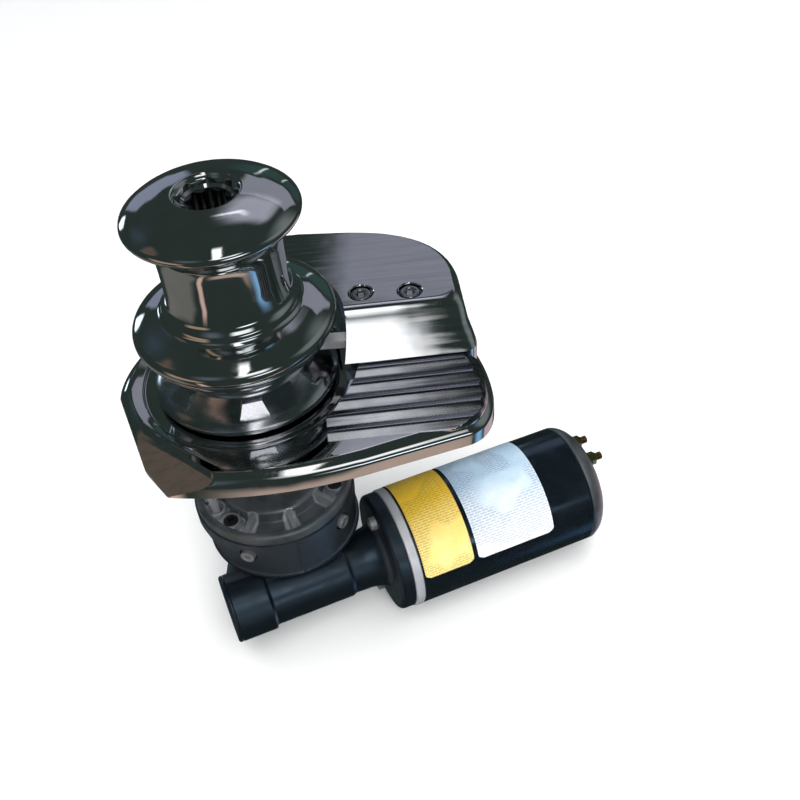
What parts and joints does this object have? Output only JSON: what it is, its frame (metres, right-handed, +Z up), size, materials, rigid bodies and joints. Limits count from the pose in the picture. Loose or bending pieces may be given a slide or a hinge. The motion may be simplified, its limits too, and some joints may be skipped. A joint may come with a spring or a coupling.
{
  "type": "anchor windlass",
  "caption": "Vertical anchor windlass: rope drum over a chain gypsy on a polished deck base with a chain-pipe cover, and a worm gearbox with its motor below deck.",
  "frame": {"origin": "on the main shaft's axis at the deck plane, which is the underside of the base", "axes": "+Z up along the main shaft, +X along the base towards the chain pipe, +Y to the back"},
  "size_m": [0.3289, 0.1997, 0.3543],
  "materials": {
    "polished_stainless": "mirror polished",
    "stainless_fittings": "satin",
    "machined_steel": "machined, lightly oiled",
    "cast_aluminium": "satin cast",
    "black_paint": "gloss black",
    "bronze": "machined",
    "brass": "bright",
    "copper": "worn bright",
    "seal_rubber": "matt",
    "ferrite": "matt ceramic",
    "laminations": "varnished",
    "resin": "moulded"
  },
  "bodies": {
    "frame": {"base_plate": "polished_stainless", "chain_pipe": "polished_stainless", "chain_cover": "polished_stainless", "cover_screw_1": "stainless_fittings", "cover_screw_2": "stainless_fittings", "chain_stripper": "stainless_fittings", "stripper_screw": "stainless_fittings", "deck_stud_1": "stainless_fittings", "deck_stud_2": "stainless_fittings", "deck_stud_3": "stainless_fittings", "deck_stud_4": "stainless_fittings", "stud_nut_1": "stainless_fittings", "stud_nut_2": "stainless_fittings", "stud_nut_3": "stainless_fittings", "stud_nut_4": "stainless_fittings", "lock_screw_1": "stainless_fittings", "lock_screw_2": "stainless_fittings", "lock_screw_3": "stainless_fittings", "lock_screw_4": "stainless_fittings", "motor_screw_1": "stainless_fittings", "motor_screw_2": "stainless_fittings", "flange_screw_1": "machined_steel", "flange_screw_2": "machined_steel", "flange_screw_3": "machined_steel", "flange_screw_4": "machined_steel", "upper_bearing": "machined_steel", "lower_bearing": "machined_steel", "worm_bearing_1": "machined_steel", "worm_bearing_2": "machined_steel", "rear_bearing": "machined_steel", "gearbox_flange": "cast_aluminium", "motor_front_ring": "cast_aluminium", "motor_end_cap": "cast_aluminium", "gearbox_housing": "black_paint", "bottom_cover": "black_paint", "worm_end_cap": "black_paint", "motor_can": "black_paint", "base_bush": "bronze", "oil_plug": "brass", "terminal_1": "brass", "terminal_2": "brass", "base_seal": "seal_rubber", "flange_seal": "seal_rubber", "field_magnet_1": "ferrite", "field_magnet_2": "ferrite", "brush_holder": "resin"},
    "worm": {"worm_shaft": "machined_steel", "drive_coupling": "machined_steel", "armature": "laminations", "commutator": "copper"},
    "shaft": {"main_shaft": "stainless_fittings", "clutch_key": "machined_steel", "lower_clutch_cone": "bronze", "worm_wheel": "bronze", "wheel_spacer": "machined_steel", "drum_stop_screw": "stainless_fittings"},
    "upper_cone": {"upper_clutch_cone": "bronze"},
    "drum": {"drum": "polished_stainless"},
    "gypsy": {"gypsy": "polished_stainless"}
  },
  "joints": [
    {"name": "worm_spin", "type": "hinge", "parent": "frame", "child": "worm", "pos_m": [0.01324, -0.04123, -0.1608], "axis": [0.9521, 0.3057, 0], "continuous": true},
    {"name": "shaft_spin", "type": "hinge", "parent": "frame", "child": "shaft", "pos_m": [0, 0, 0], "axis": [0, 0, 1], "continuous": true},
    {"name": "cone_lift", "type": "slide", "parent": "shaft", "child": "upper_cone", "axis": [0, 0, 1], "range_m": [0, 0.00101]},
    {"name": "drum_release", "type": "hinge", "parent": "upper_cone", "child": "drum", "pos_m": [0, 0, 0.1], "axis": [0, 0, 1], "range_deg": [0, 180]},
    {"name": "gypsy_free_spin", "type": "hinge", "parent": "shaft", "child": "gypsy", "pos_m": [0, 0, 0.032], "axis": [0, 0, 1], "continuous": true}
  ],
  "couplings": [
    {"joint": "shaft_spin", "follows": "worm_spin", "ratio": -0.027778},
    {"joint": "cone_lift", "follows": "drum_release", "m_per_rad": 0.00031831}
  ]
}
